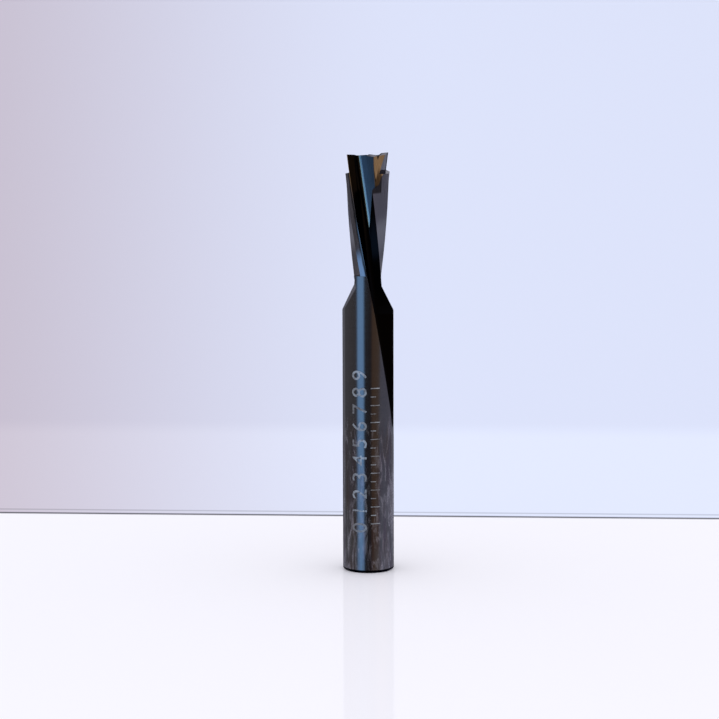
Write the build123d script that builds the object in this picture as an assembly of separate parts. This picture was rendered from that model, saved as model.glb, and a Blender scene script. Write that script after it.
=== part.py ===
from build123d import *
from math import cos, degrees, radians, sin, tan
import os

# Two-flute compression spiral router bit, ground all over from one blank of
# tungsten carbide.
#
# Frame: origin at the centre of the shank's bottom face, +Z along the tool's
# axis towards the cutting end.  Seen from that end the tool turns
# anticlockwise.  Each grinding operation is made once for the first tooth and
# repeated half a turn away for the second.
#
# Outlines of a cross-section are drawn in the tooth's own frame: the tool's
# axis at the origin, the cutting edge on +X and the direction of cut on +Y.

# ---------------------------------------------------------------- sizes, mm
INCH = 25.4
SHANK_DIAMETER = 3 / 8 * INCH
CUTTING_LENGTH = 7 / 8 * INCH
OVERALL_LENGTH = (3 + 1 / 16) * INCH
SHANK_CHAMFER = 0.32
GRIP_LENGTH = 25.0
BODY_UNDERSIZE = 0.02
BODY_TAPER_LENGTH = 1.2
TOOTH_COUNT = 2

# long downcut edges, on a left-hand helix
HELIX_ANGLE = 11.0
TIP_EDGE_AZIMUTH = 216.2
MARGIN_ANGLE = 1.6

# flute
FLUTE_FLOOR_HEIGHT = 1.80
FLUTE_ROOT_RADIUS = 1.05
RAKE_LAND_DEPTH = 1.55
RAKE_LAND_LEAD = 0.12
RAKE_HOOK = 15.0

# where the flute runs straight on, out of the shank
RUNOUT_START = 29.6
RUNOUT_LENGTH = 26.0
RUNOUT_LEAN = 10.2
RUNOUT_RISE = 0.4

# lands behind the edge
PRIMARY_WIDTH = 1.15
PRIMARY_CLEARANCE = 14.0
SECONDARY_CLEARANCE = 50.0
BACK_FLAT_HEIGHT = 2.45
BACK_RAMP_START = 24.4
BACK_RAMP_ANGLE = 26.5

# backed-off end of each tooth
NOTCH_LENGTH = 3.3
NOTCH_EDGE_LOSS = 0.04
NOTCH_CLEARANCE = 56.5

# end teeth
LIP_DISH = 3.8
LIP_RELIEF = 9.0

# upcut gash: the V-shaped cut that thins the web between the teeth
GASH_LEAD = 36.8
GASH_WEB_HALF = 0.78
GASH_TILT = 3.4
GASH_LEFT = 1.86
GASH_LEFT_LEAN = 9.3
GASH_RIGHT = 2.40
GASH_RIGHT_LEAN = 6.5
GASH_ROOT_RADIUS = 0.5

# upcut gash: the twisted face that backs off the heel, and the ledge where it stops
HEEL_LAG = 81.2
HEEL_DISTANCE = 1.60
HEEL_TAPER = 0.056
HEEL_TWIST_PER_MM = -4.9
HEEL_REACH = 1.3
HEEL_LENGTH = 9.0
HEEL_LEDGE_DEPTH = 6.6
HEEL_LEDGE_SLOPE = 28.0

# ------------------------------------------------------------ derived sizes
RADIUS = SHANK_DIAMETER / 2
TIP_Z = OVERALL_LENGTH
TWIST_PER_MM = degrees(tan(radians(HELIX_ANGLE)) / RADIUS)
OUTSIDE = 1.5 * RADIUS
OVER_TIP = 1.0


def edge_azimuth(z):
    """Azimuth of the first cutting edge at height z."""
    return TIP_EDGE_AZIMUTH + (TIP_Z - z) * TWIST_PER_MM


def relief_point(start, clearance, length):
    """End of a land facet that leaves a point and falls away from the cylinder."""
    angle = radians(clearance)
    return start[0] - length * sin(angle), start[1] - length * cos(angle)


def rake_offset(x):
    """Where the hooked inner rake face lies at distance x along the edge's radius."""
    return RAKE_LAND_LEAD - (RADIUS - RAKE_LAND_DEPTH - x) * tan(radians(RAKE_HOOK))


# corners of the cross-section
MARGIN_END = (RADIUS * cos(radians(MARGIN_ANGLE)), -RADIUS * sin(radians(MARGIN_ANGLE)))
MARGIN_OUTSIDE = (OUTSIDE * cos(radians(MARGIN_ANGLE)), -OUTSIDE * sin(radians(MARGIN_ANGLE)))
PRIMARY_END = relief_point(MARGIN_END, PRIMARY_CLEARANCE, PRIMARY_WIDTH)
SECONDARY_END = relief_point(PRIMARY_END, SECONDARY_CLEARANCE, RADIUS)
RAKE_LAND_END = (RADIUS - RAKE_LAND_DEPTH, RAKE_LAND_LEAD)
RAKE_OUTSIDE = (OUTSIDE, -RAKE_LAND_LEAD / RAKE_LAND_DEPTH * (OUTSIDE - RADIUS))
FLUTE_ROOT = (FLUTE_FLOOR_HEIGHT, rake_offset(FLUTE_FLOOR_HEIGHT))


# ------------------------------------------------------------------ cutters
def helical_cutter(section, bottom_z):
    """Sweep a cross-section up the left-hand helix, from bottom_z past the tip."""
    height = TIP_Z + OVER_TIP - bottom_z
    face = (Pos(Z=bottom_z) * Rot(Z=edge_azimuth(bottom_z)) * section).face()
    return Solid.extrude_linear_with_rotation(
        face, (0, 0, bottom_z), (0, 0, height), -height * TWIST_PER_MM
    )


def area(*corners):
    """Flat region inside a closed outline."""
    return make_face(Polyline(*corners, close=True))


def flute_section():
    """Rake land, hooked rake face, rounded root and floor, open on the far side."""
    outline = area(
        RAKE_OUTSIDE,
        RAKE_LAND_END,
        FLUTE_ROOT,
        (FLUTE_FLOOR_HEIGHT, OUTSIDE),
        (OUTSIDE, OUTSIDE),
    )
    root = outline.vertices().sort_by_distance((*FLUTE_ROOT, 0))[0]
    return fillet(root, FLUTE_ROOT_RADIUS)


def flute_cutter():
    """Helical flute, run out of the shank below on a straight, leaning path."""
    start_z = TIP_Z - RUNOUT_START
    path = Vector(tan(radians(RUNOUT_RISE)), tan(radians(RUNOUT_LEAN)), -1)
    straight = extrude(flute_section(), RUNOUT_LENGTH, dir=path)
    runout = Pos(Z=start_z) * Rot(Z=edge_azimuth(start_z)) * straight
    return [helical_cutter(flute_section(), start_z), runout]


def relief_cutter():
    """Primary and secondary lands behind the cutting edge."""
    section = area(
        MARGIN_OUTSIDE,
        MARGIN_END,
        PRIMARY_END,
        SECONDARY_END,
        (SECONDARY_END[0], -OUTSIDE),
        (OUTSIDE, -OUTSIDE),
    )
    return [helical_cutter(section, TIP_Z - CUTTING_LENGTH)]


def back_cutter():
    """Flat down the back of the tooth, with the ramp that brings it out to the shank."""
    section = area(
        (-OUTSIDE, -BACK_FLAT_HEIGHT),
        (OUTSIDE, -BACK_FLAT_HEIGHT),
        (OUTSIDE, -OUTSIDE),
        (-OUTSIDE, -OUTSIDE),
    )
    ramp_z = TIP_Z - BACK_RAMP_START
    angle = radians(BACK_RAMP_ANGLE)
    face = Plane(
        origin=(0, -BACK_FLAT_HEIGHT, 0),
        x_dir=(1, 0, 0),
        z_dir=(0, -cos(angle), sin(angle)),
    )
    ramp = face * Box(
        2 * OUTSIDE, 2 * OUTSIDE, OUTSIDE, align=(Align.CENTER, Align.MAX, Align.MIN)
    )
    placed = Pos(Z=ramp_z) * Rot(Z=edge_azimuth(ramp_z)) * ramp
    return [helical_cutter(section, ramp_z), placed]


def notch_cutter():
    """Steeper flat clearance over the end of the tooth, which stops in a ledge."""
    middle = TIP_Z - NOTCH_LENGTH / 2
    radial = Pos(Z=middle) * Rot(Z=edge_azimuth(middle)) * Pos(X=RADIUS - NOTCH_EDGE_LOSS)
    edge = radial * Rot(X=HELIX_ANGLE)
    block = Box(
        OUTSIDE,
        4 * OUTSIDE,
        OUTSIDE,
        align=(Align.MIN, Align.CENTER, Align.MIN),
    )
    return [edge * Rot(Z=-NOTCH_CLEARANCE) * Pos(Z=-NOTCH_LENGTH / 2) * block]


def gash_plane(azimuth, distance, tilt):
    """Face of a gash at the tip: outward azimuth, distance from the axis, upward tilt."""
    turn = radians(azimuth)
    rise = radians(tilt)
    return Plane(
        origin=(distance * cos(turn), distance * sin(turn), TIP_Z),
        x_dir=(-sin(turn), cos(turn), 0),
        z_dir=(cos(turn) * cos(rise), sin(turn) * cos(rise), sin(rise)),
    )


def web_gash_cutter():
    """Tapering cut from the tip that thins the web and opens the rake's root."""
    left = tan(radians(GASH_LEFT_LEAN))
    right = tan(radians(GASH_RIGHT_LEAN))
    length = (GASH_LEFT + GASH_RIGHT) / (left + right)
    outline = area(
        (-GASH_LEFT - OVER_TIP * left, OVER_TIP),
        (length * left - GASH_LEFT, -length),
        (GASH_RIGHT + OVER_TIP * right, OVER_TIP),
    )
    wedge = extrude(outline, OUTSIDE)
    root = wedge.edges().group_by(Axis.Z)[0].sort_by(Axis.X)[0]
    face = gash_plane(TIP_EDGE_AZIMUTH + GASH_LEAD, GASH_WEB_HALF, GASH_TILT)
    return [face * fillet(root, GASH_ROOT_RADIUS)]


def heel_frame(depth):
    """Frame on the axis at one depth below the tip, turned to face out of the heel."""
    azimuth = TIP_EDGE_AZIMUTH + 180 - HEEL_LAG + depth * HEEL_TWIST_PER_MM
    return Pos(Z=TIP_Z - depth) * Rot(Z=azimuth)


def heel_section(depth):
    """Region outside the heel's gash face at one depth below the tip."""
    distance = HEEL_DISTANCE + depth * HEEL_TAPER
    region = Rectangle(OUTSIDE, 2 * OUTSIDE, align=(Align.MIN, Align.MIN))
    return heel_frame(depth) * Pos(distance, -HEEL_REACH) * region


def heel_gash_cutter():
    """Right-hand twisted cut that backs off the heel and stops in a sloping ledge."""
    depths = (-OVER_TIP, HEEL_LENGTH / 2, HEEL_LENGTH)
    twisted = loft([heel_section(depth).face() for depth in depths], ruled=True)
    ledge = heel_frame(HEEL_LEDGE_DEPTH) * Rot(X=HEEL_LEDGE_SLOPE)
    above_ledge = Box(
        4 * OUTSIDE,
        4 * OUTSIDE,
        4 * OUTSIDE,
        align=(Align.CENTER, Align.CENTER, Align.MIN),
    )
    return [twisted & ledge * above_ledge]


def end_cutter():
    """Relief behind the end lip, which dishes towards the axis."""
    turn = radians(TIP_EDGE_AZIMUTH)
    dish = radians(LIP_DISH)
    fall = radians(LIP_RELIEF)
    lip = Vector(cos(turn) * cos(dish), sin(turn) * cos(dish), sin(dish))
    behind = Vector(sin(turn) * cos(fall), -cos(turn) * cos(fall), -sin(fall))
    face = Plane(
        origin=(0, 0, TIP_Z - RADIUS * tan(dish)),
        x_dir=lip,
        z_dir=behind.cross(lip),
    )
    above_face = Box(
        4 * OUTSIDE,
        4 * OUTSIDE,
        OUTSIDE,
        align=(Align.CENTER, Align.CENTER, Align.MIN),
    )
    tooth_side = Box(
        4 * OUTSIDE,
        2 * OUTSIDE,
        OUTSIDE,
        align=(Align.CENTER, Align.MAX, Align.CENTER),
    )
    across_web = Pos(Z=TIP_Z) * Rot(Z=TIP_EDGE_AZIMUTH + GASH_LEAD)
    return [face * above_face & across_web * tooth_side]


# -------------------------------------------------------------------- model
def turned_blank():
    """Round blank: a plain shank for the collet, then a body ground a hair under it."""
    body_radius = RADIUS - BODY_UNDERSIZE
    outline = area(
        (0, 0),
        (RADIUS - SHANK_CHAMFER, 0),
        (RADIUS, SHANK_CHAMFER),
        (RADIUS, GRIP_LENGTH),
        (body_radius, GRIP_LENGTH + BODY_TAPER_LENGTH),
        (body_radius, TIP_Z),
        (0, TIP_Z),
    )
    return revolve(Plane.XZ * outline, axis=Axis.Z)


def router_bit():
    """The finished tool: each grinding operation on each tooth in turn."""
    tool = turned_blank()
    operations = (
        flute_cutter,
        back_cutter,
        relief_cutter,
        notch_cutter,
        web_gash_cutter,
        heel_gash_cutter,
        end_cutter,
    )
    for operation in operations:
        for cutter in operation():
            for tooth in range(TOOTH_COUNT):
                tool -= Rot(Z=tooth * 360 / TOOTH_COUNT) * cutter
    return tool


os.makedirs("parts", exist_ok=True)
export_step(router_bit(), "parts/router_bit.step")
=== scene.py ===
# %% [markdown]
# # A two-flute carbide router bit
#
# This lesson dresses one finished solid: a spiral bit ground all over from a
# single rod of tungsten carbide.  The solid comes from the CAD model and is never
# changed here.  What Blender adds is what the eye needs to read ground carbide:
# the grain that a diamond wheel leaves on each face, a painted glint along the
# cutting edges, painted shade in the flutes, oily smudges on the shank, and the
# laser-etched scale beside the flute.

# %% The imported model
import math

import bpy
from mathutils import Euler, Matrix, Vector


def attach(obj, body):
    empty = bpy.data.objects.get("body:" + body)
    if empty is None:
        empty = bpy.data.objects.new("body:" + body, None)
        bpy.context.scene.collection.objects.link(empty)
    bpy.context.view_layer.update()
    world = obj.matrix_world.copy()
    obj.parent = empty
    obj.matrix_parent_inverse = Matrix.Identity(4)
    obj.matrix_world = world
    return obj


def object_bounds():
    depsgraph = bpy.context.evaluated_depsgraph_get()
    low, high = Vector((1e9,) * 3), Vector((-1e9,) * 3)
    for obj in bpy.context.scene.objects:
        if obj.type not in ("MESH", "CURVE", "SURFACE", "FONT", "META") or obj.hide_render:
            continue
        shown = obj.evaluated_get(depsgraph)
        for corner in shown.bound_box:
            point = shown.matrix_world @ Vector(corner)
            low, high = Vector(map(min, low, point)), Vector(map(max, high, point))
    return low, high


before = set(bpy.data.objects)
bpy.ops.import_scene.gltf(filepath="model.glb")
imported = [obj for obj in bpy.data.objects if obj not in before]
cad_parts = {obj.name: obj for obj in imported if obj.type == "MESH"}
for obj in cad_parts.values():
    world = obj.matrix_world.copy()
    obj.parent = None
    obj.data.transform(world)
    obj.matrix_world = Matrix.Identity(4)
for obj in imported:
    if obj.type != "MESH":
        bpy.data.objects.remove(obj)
cad_low, cad_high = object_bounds()
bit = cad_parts["router_bit"]
cad_size = [round(side * 1000, 3) for side in cad_high - cad_low]
print("bit:", len(bit.data.polygons), "triangles, box", cad_size, "mm")

# %% [markdown]
# ## The bit's own sizes
#
# Patterns that follow the grinding need the tool's geometry: its radius, where its
# tip is, and how far its edges turn for each millimetre of height.  They are read
# from the model's box or repeated from its drawing.  Blender works in metres, so a
# name that ends in _MM says that its value is in millimetres.

# %% Sizes
MM = 0.001
INCH = 25.4 * MM
SHANK_RADIUS = 3 / 16 * INCH
TIP_MM = cad_high.z / MM
HELIX_ANGLE = math.radians(11.0)
EDGE_AZIMUTH_AT_TIP = math.radians(216.2)
TWIST_PER_MM = math.tan(HELIX_ANGLE) / SHANK_RADIUS * MM
print("shank radius", round(SHANK_RADIUS / MM, 4), "mm, tip at", round(TIP_MM, 3), "mm")
print("edges turn", round(math.degrees(TWIST_PER_MM), 3), "degrees per mm")

# %% [markdown]
# ## Camera
#
# The bit stands about half a metre from the lens and the camera looks slightly down
# on it, so the shank's foot shows as a shallow ellipse and the tip is seen almost
# level.  The lens is long, which keeps the sides of the shank parallel.  It is
# placed first because every later choice is judged through it.

# %% Camera
CAMERA_DISTANCE = 0.500
CAMERA_HEIGHT = 0.1115
CAMERA_SIDE = -0.0014
CAMERA_PITCH = math.radians(8.19)
CAMERA_ROLL = math.radians(0.15)
SENSOR_WIDTH = 36.0
IMAGE_WIDTH = 719
FOCAL_PIXELS = 2720
NEAREST, FARTHEST = 0.01, 100.0

camera_data = bpy.data.cameras.new("camera")
camera_data.sensor_width = SENSOR_WIDTH
camera_data.lens = FOCAL_PIXELS / IMAGE_WIDTH * SENSOR_WIDTH
camera_data.clip_start = NEAREST
camera_data.clip_end = FARTHEST
camera = bpy.data.objects.new("camera", camera_data)
bpy.context.collection.objects.link(camera)
camera.location = (CAMERA_SIDE, -CAMERA_DISTANCE, CAMERA_HEIGHT)
camera.rotation_euler = Euler((math.pi / 2 - CAMERA_PITCH, CAMERA_ROLL, 0.0))
bpy.context.scene.camera = camera
print("lens", round(camera_data.lens, 1), "mm")

# %% [markdown]
# ## Small helpers for node trees
#
# Every finish is a node tree.  Trees can be wired by hand in the shader editor;
# wiring them in code keeps each value beside its name.  These helpers add a node,
# join two sockets, do one step of arithmetic and start a node group, so each tree
# below reads as a list of steps.

# %% Nodes and sockets
def add_node(tree, kind, label="", **settings):
    """A node with its properties set."""
    node = tree.nodes.new(kind)
    node.label = label
    for name, value in settings.items():
        setattr(node, name, value)
    return node


def feed(tree, socket, value):
    """Joins another node's output to a socket, or sets the socket's own value."""
    if isinstance(value, bpy.types.NodeSocket):
        tree.links.new(value, socket)
    else:
        socket.default_value = value


def math_node(tree, operation, first, second=None, third=None, clamp=False, label=""):
    """One step of arithmetic; returns its result socket."""
    node = add_node(tree, "ShaderNodeMath", label, operation=operation, use_clamp=clamp)
    for socket, value in zip(node.inputs, (first, second, third)):
        if value is not None:
            feed(tree, socket, value)
    return node.outputs[0]


def product(tree, first, second, label=""):
    """Two values or masks multiplied."""
    return math_node(tree, "MULTIPLY", first, second, label=label)


def opposite(tree, mask, label=""):
    """1 where a mask is 0, and 0 where it is 1."""
    return math_node(tree, "SUBTRACT", 1.0, mask, label=label)


print("node helpers ready")

# %% Vectors, colours and masks
def vector_math(tree, operation, first, second=None, label=""):
    """One step of vector arithmetic; returns its result socket."""
    node = add_node(tree, "ShaderNodeVectorMath", label, operation=operation)
    feed(tree, node.inputs[0], first)
    if second is not None:
        feed(tree, node.inputs[1], second)
    gives_number = operation in ("DOT_PRODUCT", "LENGTH")
    return node.outputs["Value" if gives_number else "Vector"]


def millimetres(tree, position):
    """A position in metres as one in millimetres."""
    return vector_math(tree, "MULTIPLY", position, (1 / MM,) * 3, "in millimetres")


def combine(tree, x=0.0, y=0.0, z=0.0, label=""):
    """Three numbers as one vector."""
    node = add_node(tree, "ShaderNodeCombineXYZ", label)
    for socket, value in zip(node.inputs, (x, y, z)):
        feed(tree, socket, value)
    return node.outputs[0]


def split(tree, vector):
    """The x, y and z sockets of a vector."""
    node = add_node(tree, "ShaderNodeSeparateXYZ")
    feed(tree, node.inputs[0], vector)
    return tuple(node.outputs)


# A Mix node has sockets for every kind of data: a first, a second and a result.
MIX_SOCKETS = {"FLOAT": (2, 3, 0), "RGBA": (6, 7, 2)}


def mix(tree, kind, factor, first, second, label="", **settings):
    """Two numbers or two colours mixed by a factor; returns the result socket."""
    node = add_node(tree, "ShaderNodeMix", label, data_type=kind, **settings)
    at_first, at_second, at_result = MIX_SOCKETS[kind]
    feed(tree, node.inputs[0], factor)
    feed(tree, node.inputs[at_first], first)
    feed(tree, node.inputs[at_second], second)
    return node.outputs[at_result]


def mix_colours(tree, factor, first, second, blend="MIX", label=""):
    """Two colours mixed, or multiplied where blend says so."""
    return mix(tree, "RGBA", factor, first, second, label, blend_type=blend)


def smooth_mask(tree, value, low, high, label=""):
    """0 at low, 1 at high, with a smooth step between; low may be above high."""
    node = add_node(tree, "ShaderNodeMapRange", label, interpolation_type="SMOOTHSTEP")
    feed(tree, node.inputs["Value"], value)
    feed(tree, node.inputs["From Min"], low)
    feed(tree, node.inputs["From Max"], high)
    return node.outputs["Result"]


def noise(tree, place, scale, detail, roughness=0.5, distortion=0.0, label=""):
    """Soft noise; returns its outputs, Fac and Color."""
    node = add_node(tree, "ShaderNodeTexNoise", label)
    feed(tree, node.inputs["Vector"], place)
    node.inputs["Scale"].default_value = scale
    node.inputs["Detail"].default_value = detail
    node.inputs["Roughness"].default_value = roughness
    node.inputs["Distortion"].default_value = distortion
    return node.outputs


print("vector, colour and mask helpers ready")

# %% Groups and materials
FLOAT, VECTOR = "NodeSocketFloat", "NodeSocketVector"


def new_group(name, inputs, outputs):
    """A shader node group that puts out masks; returns its tree and its two ends."""
    tree = bpy.data.node_groups.new(name, "ShaderNodeTree")
    for title, kind in inputs.items():
        tree.interface.new_socket(name=title, in_out="INPUT", socket_type=kind)
    for title in outputs:
        tree.interface.new_socket(name=title, in_out="OUTPUT", socket_type=FLOAT)
    return tree, tree.nodes.new("NodeGroupInput").outputs, tree.nodes.new("NodeGroupOutput").inputs


def use_group(tree, group, **inputs):
    """A shader node group placed in a material with its own values."""
    node = add_node(tree, "ShaderNodeGroup", group.name.replace("_", " "))
    node.node_tree = group
    for name, value in inputs.items():
        feed(tree, node.inputs[name], value)
    return node.outputs


def new_material(name):
    """A material; returns it, its tree, its shader's inputs and the object's position."""
    material = bpy.data.materials.new(name)
    material.use_nodes = True
    tree = material.node_tree
    position = add_node(tree, "ShaderNodeTexCoord").outputs["Object"]
    return material, tree, tree.nodes["Principled BSDF"].inputs, position


print("group and material helpers ready")

# %% [markdown]
# ## Table and wall
#
# The bit stands on a white glossy table with a pale lavender wall behind.  They
# could be two planes, but the wall would stand in the way of a look from behind.
# Here both are one flat plane, whose colour changes from white to lavender past the
# table's edge, so the bit can be seen from any side.  On the wall part, painted
# shade darkens the colour towards the left, and painted light lifts it low down.
# The table part is slightly glossy and mirrors the shank below its foot; the wall
# part is matt.  The plane is hidden from mirror rays, or the polished bit would
# reflect a white floor.

# %% Table and backdrop
TABLE_COLOUR = (0.965, 0.960, 0.990, 1.0)
TABLE_SIZE = 30.0
TABLE_EDGE = 0.0492
TABLE_EDGE_SLANT = 0.055
EDGE_SOFTNESS = 0.0008
# The wall's colours carry painted shade: darker and warmer on the left, lighter and cooler on the
# right.
WALL_LEFT_PAINTED_SHADE = (0.572, 0.508, 0.570, 1.0)
WALL_RIGHT_PAINTED_LIGHT = (0.740, 0.793, 0.935, 1.0)
WALL_PAINTED_SHADE_FADES = (-0.19, 0.03)
# Painted light: a lift for the lower part of the wall.
LOW_WALL_PAINTED_LIGHT = (1.08, 1.08, 1.06, 1.0)
LOW_WALL_REACH = (0.1196, 0.0936)
RIM_COLOUR = (0.06, 0.06, 0.08, 1.0)
RIM_THICKNESS = 0.0038
FRONT_LINE_WIDTH = 0.0014
BACK_LINE_WIDTH = 0.00112
BACK_LINE_STRENGTH = 0.35
TABLE_ROUGHNESS = 0.05
WALL_ROUGHNESS = 1.0
TABLE_IOR = 1.07

half = TABLE_SIZE / 2
corners = [(-half, -half, 0), (half, -half, 0), (half, half, 0), (-half, half, 0)]
table_mesh = bpy.data.meshes.new("table")
table_mesh.from_pydata(corners, [], [(0, 1, 2, 3)])
table = bpy.data.objects.new("table", table_mesh)
bpy.context.collection.objects.link(table)
table.visible_glossy = False

table_material, tree, shader, position = new_material("glossy_white_table")
x, y, _ = split(tree, position)
along_edge = math_node(tree, "MULTIPLY_ADD", x, TABLE_EDGE_SLANT, y, label="slanted edge")
past_edge = math_node(tree, "SUBTRACT", along_edge, TABLE_EDGE, label="past the table's edge")
behind = smooth_mask(tree, past_edge, -EDGE_SOFTNESS, EDGE_SOFTNESS, "behind the table")
depth = math_node(tree, "ADD", y, CAMERA_DISTANCE, label="depth of the room")
slant = math_node(tree, "DIVIDE", x, depth, label="left or right")
# Painted shade over the wall, deepest on the left.
painted_light_to_right = smooth_mask(tree, slant, *WALL_PAINTED_SHADE_FADES, "cooler to the right")
wall = mix_colours(tree, painted_light_to_right, WALL_LEFT_PAINTED_SHADE, WALL_RIGHT_PAINTED_LIGHT, label="wall")
# Painted light on the lower part of the wall.
low_wall = smooth_mask(tree, past_edge, *LOW_WALL_REACH, "lower part of the wall")
wall = mix_colours(tree, low_wall, wall, LOW_WALL_PAINTED_LIGHT, "MULTIPLY", "lighter low down")
ground = mix_colours(tree, behind, TABLE_COLOUR, wall, label="table to wall")
from_front = math_node(tree, "ABSOLUTE", past_edge)
front_line = smooth_mask(tree, from_front, FRONT_LINE_WIDTH, 0.0, "front line of the rim")
past_rim = math_node(tree, "SUBTRACT", past_edge, RIM_THICKNESS)
from_back = math_node(tree, "ABSOLUTE", past_rim)
back_line = smooth_mask(tree, from_back, BACK_LINE_WIDTH, 0.0, "back line of the rim")
rim = math_node(tree, "MULTIPLY_ADD", back_line, BACK_LINE_STRENGTH, front_line, clamp=True)
feed(tree, shader["Base Color"], mix_colours(tree, rim, ground, RIM_COLOUR, label="with its rim"))
rougher = WALL_ROUGHNESS - TABLE_ROUGHNESS
feed(tree, shader["Roughness"], math_node(tree, "MULTIPLY_ADD", behind, rougher, TABLE_ROUGHNESS))
shader["IOR"].default_value = TABLE_IOR
table_mesh.materials.append(table_material)
print("table", TABLE_SIZE, "m square")

# %% [markdown]
# ## Soft cards round the room
#
# A polished metal looks like what it reflects.  In a studio, black and white cards
# stand round such an object; lamps and planes could do the same here.  A colour
# ramp over the bearing is lighter to render and easier to tune, so the world holds
# the cards: it lights matt things evenly, and gives mirror rays a dark room with a
# few soft cards in it, in three rows from the floor to above the table.

# %% Rows of cards
# (bearing in degrees, 0 towards the lens and positive to the right; colour)
CARDS_FLOOR = (
    (-180, (0.30, 0.30, 0.34)),
    (-100, (0.38, 0.37, 0.41)),
    (-60, (0.24, 0.23, 0.26)),
    (-44, (0.17, 0.165, 0.19)),
    (-38, (0.26, 0.50, 0.92)),
    (-23, (0.30, 0.55, 0.95)),
    (-18, (0.035, 0.032, 0.04)),
    (14, (0.030, 0.026, 0.028)),
    (20, (0.10, 0.07, 0.05)),
    (50, (0.36, 0.36, 0.44)),
    (80, (0.50, 0.50, 0.63)),
    (125, (0.50, 0.50, 0.62)),
    (180, (0.30, 0.30, 0.34)),
)
CARDS_LOW = (
    (-180, (0.22, 0.22, 0.26)),
    (-154, (0.22, 0.22, 0.26)),
    (-147, (0.42, 0.43, 0.48)),
    (-136, (0.42, 0.43, 0.48)),
    (-126, (0.14, 0.135, 0.15)),
    (-92, (0.10, 0.095, 0.105)),
    (-54, (0.075, 0.07, 0.075)),
    (-46, (0.31, 0.58, 1.0)),
    (-22, (0.31, 0.58, 1.0)),
    (-16, (0.030, 0.027, 0.034)),
    (11, (0.030, 0.025, 0.030)),
    (18, (0.120, 0.070, 0.044)),
    (46, (0.105, 0.068, 0.046)),
    (54, (0.125, 0.13, 0.175)),
    (88, (0.14, 0.14, 0.19)),
    (104, (0.17, 0.17, 0.22)),
    (128, (0.20, 0.20, 0.26)),
    (137, (0.46, 0.48, 0.56)),
    (152, (0.46, 0.48, 0.56)),
    (160, (0.24, 0.24, 0.29)),
    (180, (0.30, 0.30, 0.34)),
)
CARDS_HIGH = (
    (-180, (0.95, 0.95, 1.0)),
    (-171, (0.95, 0.95, 1.0)),
    (-166, (0.30, 0.30, 0.34)),
    (-60, (0.24, 0.235, 0.26)),
    (-48, (0.07, 0.17, 0.34)),
    (-21, (0.06, 0.14, 0.29)),
    (-15, (0.26, 0.44, 0.55)),
    (-4, (0.26, 0.44, 0.55)),
    (3, (0.02, 0.02, 0.02)),
    (28, (0.02, 0.02, 0.02)),
    (38, (0.60, 0.36, 0.17)),
    (90, (0.56, 0.34, 0.16)),
    (104, (0.22, 0.21, 0.25)),
    (166, (0.22, 0.21, 0.25)),
    (171, (0.95, 0.95, 1.0)),
    (180, (0.95, 0.95, 1.0)),
)
print("rows of", len(CARDS_FLOOR), len(CARDS_LOW), "and", len(CARDS_HIGH), "stops")

# %% World
ROOM_LIGHT = (0.985, 0.98, 1.04, 1.0)
CEILING = (0.30, 0.29, 0.34, 1.0)
# (0 at the first height, 1 at the second, as the upward part of a ray's direction)
FLOOR_TO_LOW = (-0.26, -0.22)
LOW_TO_HIGH = (-0.04, 0.04)
HIGH_TO_CEILING = (0.35, 0.55)


def card_ramp(tree, turns, cards, label):
    """Soft cards round the room, as a colour ramp over a full turn."""
    ramp = add_node(tree, "ShaderNodeValToRGB", label)
    feed(tree, ramp.inputs[0], turns)
    stops = ramp.color_ramp.elements
    stops[0].position = 0.0
    stops[1].position = 1.0
    for angle, colour in cards[1:-1]:
        stops.new(angle / 360 + 0.5)
    for stop, (angle, colour) in zip(stops, cards):
        stop.color = (*colour, 1.0)
    return ramp.outputs["Color"]


world = bpy.data.worlds.new("studio")
bpy.context.scene.world = world
world.use_nodes = True
tree = world.node_tree
tree.nodes.clear()
direction = add_node(tree, "ShaderNodeTexCoord").outputs["Generated"]
x, y, z = split(tree, direction)
bearing = math_node(tree, "ARCTAN2", x, product(tree, y, -1.0), label="bearing, 0 at the lens")
turns = math_node(tree, "MULTIPLY_ADD", bearing, 0.5 / math.pi, 0.5, label="bearing as 0 to 1")
floor_cards = card_ramp(tree, turns, CARDS_FLOOR, "cards near the floor")
low_cards = card_ramp(tree, turns, CARDS_LOW, "cards at table height")
high_cards = card_ramp(tree, turns, CARDS_HIGH, "cards above")
off_floor = smooth_mask(tree, z, *FLOOR_TO_LOW, "off the floor")
above_table = smooth_mask(tree, z, *LOW_TO_HIGH, "above the table")
overhead = smooth_mask(tree, z, *HIGH_TO_CEILING, "overhead")
room = mix_colours(tree, off_floor, floor_cards, low_cards, label="floor to table")
room = mix_colours(tree, above_table, room, high_cards, label="table to wall")
room = mix_colours(tree, overhead, room, CEILING, label="wall to ceiling")
even = add_node(tree, "ShaderNodeBackground", "seen by matt things")
even.inputs["Color"].default_value = ROOM_LIGHT
mirrored = add_node(tree, "ShaderNodeBackground", "seen by polished things")
feed(tree, mirrored.inputs["Color"], room)
rays = add_node(tree, "ShaderNodeLightPath")
either = add_node(tree, "ShaderNodeMixShader")
feed(tree, either.inputs[0], rays.outputs["Is Glossy Ray"])
feed(tree, either.inputs[1], even.outputs[0])
feed(tree, either.inputs[2], mirrored.outputs[0])
feed(tree, add_node(tree, "ShaderNodeOutputWorld").inputs[0], either.outputs[0])
print("world with", len(tree.nodes), "nodes")
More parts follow.
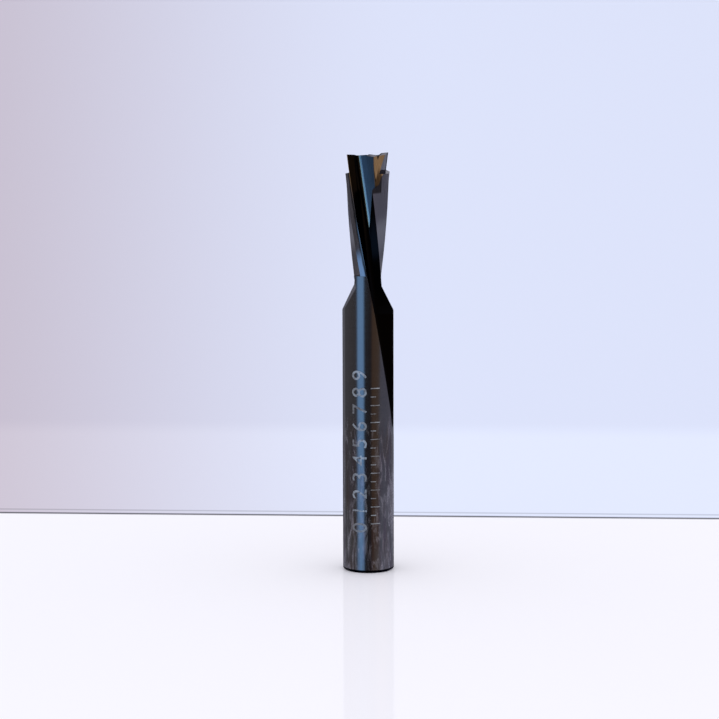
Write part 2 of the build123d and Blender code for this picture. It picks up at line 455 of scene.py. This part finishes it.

# %% [markdown]
# ## Where a point lies on a tooth
#
# Each face of the bit was ground by a wheel set up for that face, so each has its
# own direction of grain; each also gets its own tone, some of them painted shade
# and painted highlight.  The faces follow a left-hand helix, and the second tooth
# is the first one turned half round.  The tones could be painted by hand or kept
# as one material per face.  This group instead turns a point back by the helix and
# folds the two teeth into one, so that one cross-section drawing tells every face
# apart, and a size is changed in one place.

# %% Tooth coordinates group
tooth_tree, given, result = new_group(
    "tooth_coordinates",
    {"Position": VECTOR},
    ("Out", "Ahead", "Radius", "Height", "Turn"),
)
t = tooth_tree
x, y, z = split(t, millimetres(t, given["Position"]))
below_tip = math_node(t, "SUBTRACT", TIP_MM, z, label="below the tip")
edge = math_node(t, "MULTIPLY_ADD", below_tip, TWIST_PER_MM, EDGE_AZIMUTH_AT_TIP)
cosine = math_node(t, "COSINE", edge)
sine = math_node(t, "SINE", edge)
out = math_node(t, "ADD", product(t, x, cosine), product(t, y, sine), label="out to the edge")
ahead = math_node(t, "SUBTRACT", product(t, y, cosine), product(t, x, sine), label="ahead of it")
fold = math_node(t, "SIGN", out, label="which tooth")
square = math_node(t, "ADD", product(t, x, x), product(t, y, y), label="radius squared")
feed(t, result["Out"], product(t, out, fold))
feed(t, result["Ahead"], product(t, ahead, fold))
feed(t, result["Radius"], math_node(t, "SQRT", square))
feed(t, result["Height"], z)
feed(t, result["Turn"], math_node(t, "ARCTAN2", ahead, out, label="angle from the edge"))
print(t.name, "with", len(t.nodes), "nodes")

# %% [markdown]
# ## Ground faces
#
# Seen end-on, a tooth is a short outline: the rake face of the flute, the honed
# edge, a hair of round margin, a narrow primary land, a steeper secondary land and
# a flat back.  Simple limits in the tooth's own coordinates give a mask for each.
# Every limit is a pair, 0 at the first value and 1 at the second, so that tones
# meet in a fine blend as ground faces do.

# %% Limits of the faces, in millimetres
ROUND_RADIUS = (4.69, 4.73)
TEETH_HEIGHT = (TIP_MM - 22.3, TIP_MM - 22.1)
RAKE_AHEAD = (-0.33, -0.29)
PAST_PRIMARY = (-1.22, -1.28)
LAND_OUT = (3.0, 3.1)
OTHER_BACK_AHEAD = (2.30, 2.40)
OTHER_BACK_OUT = (1.74, 1.68)
RIM_RADIUS = (4.60, 4.70)
HONED_WIDTH = (0.10, 0.02)
CHAMFER_HEIGHT = (0.60, 0.50)
print("teeth from", round(TEETH_HEIGHT[1], 2), "mm up to", round(TIP_MM, 2), "mm")

# %% Ground faces group
faces_tree, given, result = new_group(
    "ground_faces",
    {"Out": FLOAT, "Ahead": FLOAT, "Radius": FLOAT, "Height": FLOAT},
    ("Round", "Primary", "Secondary", "Flute", "Edge", "Foot", "Margin"),
)
t = faces_tree
out, ahead, radius, height = (given[name] for name in ("Out", "Ahead", "Radius", "Height"))
on_round = smooth_mask(t, radius, *ROUND_RADIUS, "on the round")
toothed = smooth_mask(t, height, *TEETH_HEIGHT, "along the teeth")
rake_side = smooth_mask(t, ahead, *RAKE_AHEAD, "on the rake side")
past_primary = smooth_mask(t, ahead, *PAST_PRIMARY, "past the primary land")
outer = smooth_mask(t, out, *LAND_OUT, "outside the flat")
land = product(t, product(t, opposite(t, rake_side), outer), toothed, "behind the edge")
back_ahead = smooth_mask(t, ahead, *OTHER_BACK_AHEAD)
back_out = smooth_mask(t, out, *OTHER_BACK_OUT)
other_back = product(t, back_ahead, back_out, "back of the other tooth")
in_flute = product(t, rake_side, opposite(t, other_back))
at_rim = smooth_mask(t, radius, *RIM_RADIUS, "at the rim")
honed = smooth_mask(t, math_node(t, "ABSOLUTE", ahead), *HONED_WIDTH, "close to the edge")
# Edge carries a painted glint, and Flute, Margin and Foot carry painted shade, in the carbide's
# tones.
feed(t, result["Round"], on_round)
feed(t, result["Primary"], product(t, land, opposite(t, past_primary)))
feed(t, result["Secondary"], product(t, land, past_primary))
feed(t, result["Flute"], product(t, opposite(t, on_round), in_flute))
feed(t, result["Edge"], product(t, product(t, at_rim, honed), toothed))
feed(t, result["Margin"], product(t, on_round, toothed))
feed(t, result["Foot"], smooth_mask(t, height, *CHAMFER_HEIGHT, "chamfer and end face"))
print(t.name, "with", len(t.nodes), "nodes")

# %% [markdown]
# ## The gash at the tip
#
# A V-shaped cut at the tip thins the web between the teeth.  It lies across the
# helix, so the tooth's coordinates can't find it.  It has its own plane instead:
# its outward bearing, its distance from the axis and its tilt, the same three
# values as in the drawing, and two leaning sides.  How far a point stands off the
# plane and its sides tells the flat face, the rounded root along its left side,
# which gets a painted highlight, the side wall, which gets painted shade, and the
# foot of the heel's face on its right, where painted shade deepens downwards.

# %% Sizes of the gash, in millimetres
GASH_BEARING = EDGE_AZIMUTH_AT_TIP + math.radians(36.8)
GASH_DISTANCE = 0.78
GASH_TILT = math.tan(math.radians(3.4))
GASH_LEFT = 1.86
GASH_LEFT_LEAN = math.tan(math.radians(9.3))
GASH_RIGHT = 2.40
GASH_RIGHT_LEAN = math.tan(math.radians(6.5))
OFF_PLANE = (0.09, 0.05)
INSIDE_LEFT = (0.18, 0.26)
INSIDE_RIGHT = (-0.10, 0.05)
ROOT_STARTS = (0.30, 0.45)
ROOT_ENDS = (0.86, 0.60)
SIDE_WALL = (0.34, 0.26)
SIDE_WALL_LEVEL = (-15.5, -14.5)
RIGHT_OF_GASH = (0.02, -0.04)
HEEL_BOTTOM_LEVEL = (-7.4, -7.0)
HEEL_DARKENS = (-2.0, -4.4)
print("gash faces bearing", round(math.degrees(GASH_BEARING), 1), "degrees")

# %% Gash group
gash_tree, given, result = new_group(
    "tip_gash",
    {"Position": VECTOR},
    ("Face", "Root", "Across", "Shade", "Heel"),
)
t = gash_tree


def distance_along(direction, label):
    """Distance in millimetres along a fixed direction."""
    per_mm = [part / MM for part in direction]
    return vector_math(t, "DOT_PRODUCT", given["Position"], per_mm, label)


gash_cosine, gash_sine = math.cos(GASH_BEARING), math.sin(GASH_BEARING)
outward = distance_along((gash_cosine, gash_sine, 0.0), "out of the gash")
sideways = distance_along((-gash_sine, gash_cosine, 0.0), "across the gash")
level = math_node(t, "SUBTRACT", distance_along((0.0, 0.0, 1.0), "up the tool"), TIP_MM)
side = product(t, sideways, math_node(t, "SIGN", outward), "on either tooth")
leaning = math_node(t, "MULTIPLY_ADD", level, GASH_TILT, math_node(t, "ABSOLUTE", outward))
off_plane = math_node(t, "ABSOLUTE", math_node(t, "SUBTRACT", leaning, GASH_DISTANCE))
left_side = math_node(t, "MULTIPLY_ADD", level, GASH_LEFT_LEAN, side)
from_left = math_node(t, "ADD", left_side, GASH_LEFT, label="from the left side")
right_side = math_node(t, "MULTIPLY_ADD", level, GASH_RIGHT_LEAN, GASH_RIGHT)
from_right = math_node(t, "SUBTRACT", right_side, side, label="from the right side")

inside_left = smooth_mask(t, from_left, *INSIDE_LEFT)
inside_right = smooth_mask(t, from_right, *INSIDE_RIGHT)
inside = product(t, inside_left, inside_right, "between the sides")
flat = product(t, smooth_mask(t, off_plane, *OFF_PLANE), inside, "flat of the gash")
root_starts = smooth_mask(t, from_left, *ROOT_STARTS)
root = product(t, root_starts, smooth_mask(t, from_left, *ROOT_ENDS), "rounded root")
near_wall = smooth_mask(t, math_node(t, "ABSOLUTE", from_left), *SIDE_WALL)
side_wall = product(t, near_wall, smooth_mask(t, level, *SIDE_WALL_LEVEL), "side wall")
beside_right = smooth_mask(t, from_right, *RIGHT_OF_GASH)
heel = product(t, beside_right, smooth_mask(t, level, *HEEL_BOTTOM_LEVEL), "heel's face")
# Root marks where a painted highlight goes; Shade and Heel mark where painted shade goes, Heel
# deeper low down.
feed(t, result["Face"], flat)
feed(t, result["Root"], product(t, root, flat))
feed(t, result["Across"], from_left)
feed(t, result["Shade"], product(t, side_wall, opposite(t, flat)))
feed(t, result["Heel"], product(t, heel, smooth_mask(t, level, *HEEL_DARKENS)))
print(t.name, "with", len(t.nodes), "nodes")

# %% [markdown]
# ## Grain of the wheel
#
# A diamond wheel leaves fine parallel scratches.  On the shank, which turns as it
# is ground, they run round it; on the teeth they run along the cut.  They could be
# modelled as grooves, but noise that is stretched many times along one direction
# looks like such scratches at any distance, and costs far less.

# %% Wheel grain group
GRAIN_DETAIL = 4.0
GRAIN_ROUGHNESS = 0.65

grain_tree, given, result = new_group(
    "wheel_grain",
    {"Turn": FLOAT, "Height": FLOAT, "Across": FLOAT, "Along": FLOAT},
    ("Grain",),
)
t = grain_tree
place = combine(
    t,
    product(t, math_node(t, "COSINE", given["Turn"]), given["Along"]),
    product(t, math_node(t, "SINE", given["Turn"]), given["Along"]),
    product(t, given["Height"], given["Across"]),
    "stretched place",
)
scratches = noise(t, place, 1.0, GRAIN_DETAIL, GRAIN_ROUGHNESS, label="scratches")
feed(t, result["Grain"], scratches["Fac"])
print(t.name, "with", len(t.nodes), "nodes")

# %% [markdown]
# ## Handling smudges
#
# A bit that has been picked up carries an oily film in long streaks where fingers
# slid along the shank, dry pale wisps, a thumb mark, and the ridges of fingertips.
# The film tints the carbide brown to purple, and the haze dulls it.  Painted
# smudges would need an image; noise stretched along the tool gives the streaks and
# wisps, and a warped wave inside a few soft patches gives the ridges.

# %% Sizes of the smudges, in millimetres
GRIP_FADE = 6.0
STREAK_STRETCH = (0.85, 0.85, 0.10)
WISP_STRETCH = (0.95, 0.95, 0.20)
SMUDGE_DETAIL = 5.0
STREAK_ROUGHNESS = 0.60
WISP_ROUGHNESS = 0.62
WISP_DISTORTION = 1.1
FILM_LIMITS = (0.42, 0.62)
HAZE_LIMITS = (0.50, 0.74)
FOOT_HEIGHT = (18.0, 2.0)
FOOT_HAZE = 0.06
THUMB_MIDDLE = (4.6, -1.2, 13.5)
THUMB_REACH = (3.6, 3.6, 10.0)
THUMB_FADE = (1.0, 0.15)
THUMB_HAZE = 0.20
FINGERTIP_SCALE = 0.16
FINGERTIP_DETAIL = 2.0
FINGERTIP_LIMITS = (0.52, 0.60)
WHORLS = {"Scale": 0.5, "Distortion": 7.0, "Detail": 1.0, "Detail Scale": 0.35}
print("thumb mark", THUMB_MIDDLE[2], "mm up the shank")

# %% Handling smudges group
smudge_tree, given, result = new_group(
    "handling_smudges",
    {"Position": VECTOR, "Reach": FLOAT},
    ("Film", "Ridges", "Hue", "Haze"),
)
t = smudge_tree
in_mm = millimetres(t, given["Position"])
z = split(t, in_mm)[2]
untouched = math_node(t, "ADD", given["Reach"], GRIP_FADE)
handled = smooth_mask(t, z, untouched, given["Reach"], "below the grip line")

drawn = vector_math(t, "MULTIPLY", in_mm, STREAK_STRETCH, "drawn out along the tool")
streaks = noise(t, drawn, 1.0, SMUDGE_DETAIL, STREAK_ROUGHNESS, label="streaks")
film = smooth_mask(t, streaks["Fac"], *FILM_LIMITS, "film")
feed(t, result["Film"], product(t, film, handled))
feed(t, result["Hue"], streaks["Color"])

wiped = vector_math(t, "MULTIPLY", in_mm, WISP_STRETCH, "wiped up and down")
wisps = noise(t, wiped, 1.0, SMUDGE_DETAIL, WISP_ROUGHNESS, WISP_DISTORTION, "wisps")
at_foot = smooth_mask(t, z, *FOOT_HEIGHT, "thicker towards the foot")
from_thumb = vector_math(t, "SUBTRACT", in_mm, THUMB_MIDDLE, "from the middle of the thumb")
per_reach = [1 / reach for reach in THUMB_REACH]
oval = vector_math(t, "MULTIPLY", from_thumb, per_reach, "oval of the thumb")
thumb = smooth_mask(t, vector_math(t, "LENGTH", oval), *THUMB_FADE, "thumb mark")
haze = math_node(t, "MULTIPLY_ADD", at_foot, FOOT_HAZE, wisps["Fac"], label="more haze low down")
haze = math_node(t, "MULTIPLY_ADD", thumb, THUMB_HAZE, haze, label="and under the thumb")
feed(t, result["Haze"], product(t, smooth_mask(t, haze, *HAZE_LIMITS), handled))

fingertips = noise(t, in_mm, FINGERTIP_SCALE, FINGERTIP_DETAIL, label="fingertips")
touched = smooth_mask(t, fingertips["Fac"], *FINGERTIP_LIMITS, "touched")
whorls = add_node(t, "ShaderNodeTexWave", "ridges", wave_type="BANDS", bands_direction="Z")
feed(t, whorls.inputs["Vector"], in_mm)
for name, value in WHORLS.items():
    whorls.inputs[name].default_value = value
feed(t, result["Ridges"], product(t, product(t, whorls.outputs["Fac"], touched), handled))
print(t.name, "with", len(t.nodes), "nodes")

# %% [markdown]
# ## Ground carbide
#
# Tungsten carbide is a dark grey metal-like ceramic.  One plain metallic shader
# would read as a grey rod, so what changes from face to face is its tone, its
# polish and its grain.  The lands are a shade lighter than the shank.  Painted
# shade makes the flutes nearly black, where a deep hollow mostly mirrors its own
# dark walls, and it also darkens the corners of the gash, the heel's face low
# down, the margins and the chamfer at the foot.  A painted highlight lights the
# root of the gash, and a painted glint the honed edge.

# %% Tones of the faces
ROUND_TONE = (0.300, 0.298, 0.305, 1.0)
BACK_TONE = (0.33, 0.325, 0.345, 1.0)
LAND_TONE = (0.40, 0.395, 0.43, 1.0)
# Painted shade on the margins, which dims their reflection.
MARGIN_PAINTED_SHADE = (0.10, 0.10, 0.105, 1.0)
# Painted shade: the flutes and the corners of the gash are near-black for a hollow that mirrors
# its own dark walls.
FLUTE_PAINTED_SHADE = (0.008, 0.0078, 0.0088, 1.0)
# Painted shade on the heel's face, deeper low down.
HEEL_PAINTED_SHADE = (0.085, 0.08, 0.08, 1.0)
GASH_TONE_ROOT = (0.17, 0.19, 0.21, 1.0)
GASH_TONE_FAR = (0.13, 0.13, 0.135, 1.0)
GASH_DARKENS = (0.5, 2.4)
# Painted highlight along the rounded root of the gash.
ROOT_PAINTED_HIGHLIGHT = (0.80, 0.86, 0.82, 1.0)
# Painted shade on the chamfer at the foot.
FOOT_PAINTED_SHADE = (0.006, 0.006, 0.007, 1.0)
# Painted glint along the honed edge.
EDGE_PAINTED_GLINT = (0.30, 0.30, 0.32, 1.0)
HEEL_RADIUS = (4.35, 4.15)

carbide, tree, shader, position = new_material("ground_carbide")
tooth = use_group(tree, tooth_tree, Position=position)
gash = use_group(tree, gash_tree, Position=position)
places = {name: tooth[name] for name in ("Out", "Ahead", "Radius", "Height")}
faces = use_group(tree, faces_tree, **places)
cut_face = opposite(tree, faces["Round"], "ground teeth")
land = math_node(tree, "ADD", faces["Primary"], faces["Secondary"], clamp=True, label="lands")
heel_inside = smooth_mask(tree, tooth["Radius"], *HEEL_RADIUS, "inside the lands")
heel = product(tree, gash["Heel"], heel_inside)
across_gash = smooth_mask(tree, gash["Across"], *GASH_DARKENS)
gash_tone = mix_colours(tree, across_gash, GASH_TONE_ROOT, GASH_TONE_FAR, label="gash")
tone = mix_colours(tree, cut_face, ROUND_TONE, BACK_TONE, label="round or cut")
# Painted shade below darkens the flutes, the heel's face, the margins and the corners of the gash;
# the root gets a painted highlight.
for mask, face_tone, label in (
    (land, LAND_TONE, "lands lighter"),
    (faces["Flute"], FLUTE_PAINTED_SHADE, "flutes darker"),
    (heel, HEEL_PAINTED_SHADE, "heel darkens downwards"),
    (faces["Margin"], MARGIN_PAINTED_SHADE, "painted shade on the margins"),
    (gash["Shade"], FLUTE_PAINTED_SHADE, "corners of the gash"),
    (gash["Face"], gash_tone, "gash face"),
    (gash["Root"], ROOT_PAINTED_HIGHLIGHT, "painted highlight on the root"),
):
    tone = mix_colours(tree, mask, tone, face_tone, label=label)
print("tones of the faces with", len(tree.nodes), "nodes")

# %% Film and grain over the tones
FILM_BROWN = (0.90, 0.78, 0.69, 1.0)
FILM_PURPLE = (0.92, 0.83, 0.91, 1.0)
FILM_HUE_TURNS = (0.42, 0.58)
HAZE_TONE = (0.46, 0.45, 0.52, 1.0)
HAZE_STRENGTH = 0.6
SMUDGE_REACH = 25.0
ROUND_GRAIN = {"Across": 14.0, "Along": 1.2}
CUT_GRAIN = {"Across": 0.5, "Along": 26.0}
GRAIN_CONTRAST = 0.30
TIP_GRAIN_CONTRAST = 0.90
GASHED_HEIGHT = (TIP_MM - 8.0, TIP_MM - 7.0)

smudges = use_group(tree, smudge_tree, Position=position, Reach=SMUDGE_REACH)
hue = smooth_mask(tree, smudges["Hue"], *FILM_HUE_TURNS)
film_hue = mix_colours(tree, hue, FILM_BROWN, FILM_PURPLE, label="film hue")
tone = mix_colours(tree, smudges["Film"], tone, film_hue, "MULTIPLY", "oily film")
pale = product(tree, smudges["Haze"], HAZE_STRENGTH)
tone = mix_colours(tree, pale, tone, HAZE_TONE, label="dry haze")

along_tool = {"Turn": tooth["Turn"], "Height": tooth["Height"]}
round_grain = use_group(tree, grain_tree, **along_tool, **ROUND_GRAIN)["Grain"]
cut_grain = use_group(tree, grain_tree, **along_tool, **CUT_GRAIN)["Grain"]
grain = mix(tree, "FLOAT", cut_face, round_grain, cut_grain, "grain of this face")
gashed = smooth_mask(tree, tooth["Height"], *GASHED_HEIGHT, "gashed end")
contrast = math_node(tree, "MULTIPLY_ADD", gashed, TIP_GRAIN_CONTRAST, GRAIN_CONTRAST)
centred = math_node(tree, "SUBTRACT", grain, 0.5)
shade = math_node(tree, "MULTIPLY_ADD", centred, contrast, 1.0, label="grain in the tone")
tone = mix_colours(tree, 1.0, tone, shade, "MULTIPLY", "toned")
# Painted shade on the chamfer and end face.
tone = mix_colours(tree, faces["Foot"], tone, FOOT_PAINTED_SHADE, label="shaded chamfer")
# Painted glint on the honed edge.
tone = mix_colours(tree, faces["Edge"], tone, EDGE_PAINTED_GLINT, label="honed edge")
feed(tree, shader["Base Color"], tone)
print("tones, film and grain with", len(tree.nodes), "nodes")

# %% Polish and scratches
GLANCE_TONE = (0.45, 0.45, 0.48, 1.0)
HAZE_HIDES_METAL = 0.18
POLISH = 0.10
GRAIN_DULLS = 0.14
HAZE_DULLS = 0.10
RIDGES_DULL = 0.03
SCRATCH_STRENGTH = 0.25
SCRATCH_DEPTH = 0.01 * MM

above_chamfer = opposite(tree, faces["Foot"], "above the chamfer")
dry = product(tree, smudges["Haze"], above_chamfer)
metal = math_node(tree, "MULTIPLY_ADD", dry, -HAZE_HIDES_METAL, 1.0, label="haze hides the metal")
feed(tree, shader["Metallic"], metal)
dull = math_node(tree, "MULTIPLY_ADD", grain, GRAIN_DULLS, POLISH, label="grain in the polish")
dull = math_node(tree, "MULTIPLY_ADD", smudges["Haze"], HAZE_DULLS, dull, label="haze")
dull = math_node(tree, "MULTIPLY_ADD", smudges["Ridges"], RIDGES_DULL, dull, label="fingerprints")
feed(tree, shader["Roughness"], dull)
shader["Specular Tint"].default_value = GLANCE_TONE
bump = add_node(tree, "ShaderNodeBump", "scratches")
feed(tree, bump.inputs["Height"], grain)
bump.inputs["Strength"].default_value = SCRATCH_STRENGTH
bump.inputs["Distance"].default_value = SCRATCH_DEPTH
feed(tree, shader["Normal"], bump.outputs[0])
for material_slot in bit.material_slots:
    material_slot.material = carbide
print("carbide with", len(tree.nodes), "nodes")

# %% [markdown]
# ## Finish of the laser-etched scale
#
# Beside the flute a laser has frosted fine marks into the shank.  Frosting is a
# crowd of tiny pits: it scatters light, so it looks pale and half dull on the dark
# polish, and it wears where fingers rub.  An image could hold the marks; a material
# of their own on thin shapes stays sharp at any distance.

# %% Frosted mark
MARK_BRIGHT = (0.46, 0.52, 0.58, 1.0)
MARK_WORN = (0.26, 0.27, 0.29, 1.0)
MARK_PIT = (0.16, 0.165, 0.18, 1.0)
PIT_SCALE = 2.2 / MM
WEAR_SCALE = 0.22 / MM
MARK_DETAIL = 3.0
WORN_LIMITS = (0.40, 0.62)
PIT_LIMITS = (0.52, 0.66)
MARK_ROUGHNESS = 0.22
PITS_DULL = 0.30
MARK_METALLIC = 0.55

frosted, tree, shader, position = new_material("laser_frosted_mark")
pits = noise(tree, position, PIT_SCALE, MARK_DETAIL, label="pits of the laser")
wear = noise(tree, position, WEAR_SCALE, MARK_DETAIL, label="worn by handling")
worn = smooth_mask(tree, wear["Fac"], *WORN_LIMITS)
pitted = smooth_mask(tree, pits["Fac"], *PIT_LIMITS)
mark = mix_colours(tree, worn, MARK_BRIGHT, MARK_WORN, label="worn")
feed(tree, shader["Base Color"], mix_colours(tree, pitted, mark, MARK_PIT, label="pitted"))
dull = math_node(tree, "MULTIPLY_ADD", pits["Fac"], PITS_DULL, MARK_ROUGHNESS, label="dull")
feed(tree, shader["Roughness"], dull)
shader["Metallic"].default_value = MARK_METALLIC
print("mark finish with", len(tree.nodes), "nodes")

# %% [markdown]
# ## Laying marks round the shank
#
# The marks are a plain depth scale: the numbers 0 to 9 an eighth of an inch apart,
# read along the tool, and a row of ticks at half that step.  A mark that repeats is
# a job for Geometry Nodes.  Both rows are laid out flat, as on a strip of paper, and
# the strip is then rolled round the shank, a few thousandths of a millimetre proud.
# The helpers below hold what both rows share: the rolling, the last steps of a
# tree, and turning its result into a plain mesh.

# %% Geometry node helpers
MARK_RADIUS = SHANK_RADIUS + 0.004 * MM
GEOMETRY = "NodeSocketGeometry"
MATERIAL = "NodeSocketMaterial"


def new_geometry_tree(name, inputs):
    """A Geometry Nodes tree; returns it with its two ends."""
    tree = bpy.data.node_groups.new(name, "GeometryNodeTree")
    tree.interface.new_socket(name="Geometry", in_out="INPUT", socket_type=GEOMETRY)
    for title, kind in inputs.items():
        tree.interface.new_socket(name=title, in_out="INPUT", socket_type=kind)
    tree.interface.new_socket(name="Geometry", in_out="OUTPUT", socket_type=GEOMETRY)
    return tree, tree.nodes.new("NodeGroupInput").outputs, tree.nodes.new("NodeGroupOutput").inputs


def shape_node(tree, kind, geometry=None, label="", **inputs):
    """A geometry node fed with a shape and named inputs; returns its result."""
    node = add_node(tree, "GeometryNode" + kind, label)
    if geometry is not None:
        feed(tree, node.inputs[0], geometry)
    for name, value in inputs.items():
        feed(tree, node.inputs[name.replace("_", " ")], value)
    return node.outputs[0]


def roll_round(tree, flat, radius):
    """Rolls a flat layout (x across, y along the tool, in metres) round the shank."""
    x, y, _ = split(tree, add_node(tree, "GeometryNodeInputPosition").outputs[0])
    angle = math_node(tree, "DIVIDE", x, radius, label="arc to angle")
    side = product(tree, math_node(tree, "SINE", angle), radius)
    front = product(tree, math_node(tree, "COSINE", angle), radius)
    place = combine(tree, side, product(tree, front, -1.0, "on the front"), y, "rolled place")
    return shape_node(tree, "SetPosition", flat, "roll round the shank", Position=place)


def end_tree(tree, shape, finish, result):
    """The last steps of each tree: real geometry with its material."""
    whole = shape_node(tree, "RealizeInstances", shape)
    feed(tree, result[0], shape_node(tree, "SetMaterial", whole, Material=finish))


def bake_marks(name, tree, values):
    """Runs a tree on an empty mesh, keeps the result as a plain mesh and rides it."""
    carrier = bpy.data.objects.new(name + "_carrier", bpy.data.meshes.new(name + "_carrier"))
    bpy.context.collection.objects.link(carrier)
    modifier = carrier.modifiers.new("marks", "NODES")
    modifier.node_group = tree
    for item in tree.interface.items_tree:
        if item.in_out == "INPUT" and item.name in values:
            modifier[item.identifier] = values[item.name]
    evaluated = carrier.evaluated_get(bpy.context.evaluated_depsgraph_get())
    baked = bpy.data.meshes.new_from_object(evaluated)
    bpy.data.objects.remove(carrier)
    piece = bpy.data.objects.new(name, baked)
    bpy.context.collection.objects.link(piece)
    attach(piece, "root")
    print(name, "with", len(baked.polygons), "faces")


print("marks lie at radius", round(MARK_RADIUS / MM, 4), "mm")

# %% [markdown]
# ## Digits of the scale
#
# Ten digits stand in a row up the shank, each turned to be read with the tool lying
# down.  Text could be typed ten times by hand; here one string becomes ten
# outlines, each outline moves one step further, and only then are they filled.  The
# fill is divided twice, because a large flat face can't follow the round.

# %% Row of digits
TEN_DIGITS = "0123456789"
DIGIT_STEP = INCH / 8
DIGIT_HEIGHT = 4.1 * MM
DIGIT_LEFT = math.radians(-3.8) * SHANK_RADIUS
DIGIT_START = 7.6 * MM
QUARTER_TURN = (0.0, 0.0, math.pi / 2)
FILL_DIVISIONS = 2

tree, given, result = new_geometry_tree("scale_digits", {
    "Step": FLOAT, "Size": FLOAT, "Left": FLOAT,
    "Start": FLOAT, "Radius": FLOAT, "Finish": MATERIAL,
})
row = shape_node(tree, "StringToCurves", None, "ten digits", String=TEN_DIGITS, Size=given["Size"])
number = add_node(tree, "GeometryNodeInputIndex").outputs[0]
spot = combine(tree, product(tree, number, given["Step"], "an equal step each"))
row = shape_node(tree, "SetPosition", row, "space the digits", Position=spot)
row = shape_node(tree, "RealizeInstances", row)
row = shape_node(tree, "FillCurve", row, "fill the outlines")
row = shape_node(tree, "SubdivideMesh", row, "fine enough to roll", Level=FILL_DIVISIONS)
place = combine(tree, given["Left"], given["Start"], label="to its place")
row = shape_node(tree, "Transform", row, "up the tool", Rotation=QUARTER_TURN, Translation=place)
end_tree(tree, roll_round(tree, row, given["Radius"]), given["Finish"], result)
bake_marks("scale_digits", tree, {
    "Step": DIGIT_STEP, "Size": DIGIT_HEIGHT, "Left": DIGIT_LEFT,
    "Start": DIGIT_START, "Radius": MARK_RADIUS, "Finish": frosted,
})

# %% [markdown]
# ## Ticks of the scale
#
# Beside the digits runs a row of ticks, every second one shorter, as on a rule.  One
# flat tick is a narrow grid; a line of points carries a copy of it on each point,
# and the point's number decides how long the copy is.  An array modifier could
# repeat the tick, but not shorten every second one.

# %% Row of ticks
TICK_STEP = INCH / 16
TICK_COUNT = 17
TICK_LONG = 1.75 * MM
TICK_SHORT = 1.0 * MM
TICK_WIDTH = 0.17 * MM
TICK_LEFT = 0.45 * MM
TICK_START = 9.4 * MM
GRID = {"Size_X": 1.0, "Size_Y": 1.0, "Vertices_X": 13, "Vertices_Y": 2}
HALF_A_GRID = (0.5, 0.0, 0.0)

tree, given, result = new_geometry_tree("scale_ticks", {
    "Count": "NodeSocketInt", "Step": FLOAT, "Long": FLOAT, "Short": FLOAT, "Width": FLOAT,
    "Left": FLOAT, "Start": FLOAT, "Radius": FLOAT, "Finish": MATERIAL,
})
start = combine(tree, given["Left"], given["Start"], label="start")
step = combine(tree, y=given["Step"], label="step")
points = shape_node(tree, "MeshLine", None, "one point a tick",
                    Count=given["Count"], Start_Location=start, Offset=step)
tick = shape_node(tree, "MeshGrid", None, "one flat tick", **GRID)
tick = shape_node(tree, "Transform", tick, "measured from its left end", Translation=HALF_A_GRID)
number = add_node(tree, "GeometryNodeInputIndex").outputs[0]
odd = math_node(tree, "MODULO", number, 2.0, label="every second tick")
gain = math_node(tree, "SUBTRACT", given["Short"], given["Long"])
length = math_node(tree, "MULTIPLY_ADD", odd, gain, given["Long"], label="long or short")
size = combine(tree, length, given["Width"], 1.0, "size")
row = shape_node(tree, "InstanceOnPoints", points, "a tick each", Instance=tick, Scale=size)
row = shape_node(tree, "RealizeInstances", row)
end_tree(tree, roll_round(tree, row, given["Radius"]), given["Finish"], result)
bake_marks("scale_ticks", tree, {
    "Count": TICK_COUNT, "Step": TICK_STEP, "Long": TICK_LONG, "Short": TICK_SHORT,
    "Width": TICK_WIDTH, "Left": TICK_LEFT, "Start": TICK_START,
    "Radius": MARK_RADIUS, "Finish": frosted,
})

# %% [markdown]
# ## Colours
#
# The Standard view shows a colour as it is written, where the usual filmic views
# would turn the pale table grey.

# %% Colour management and finish
bpy.context.scene.view_settings.view_transform = "Standard"
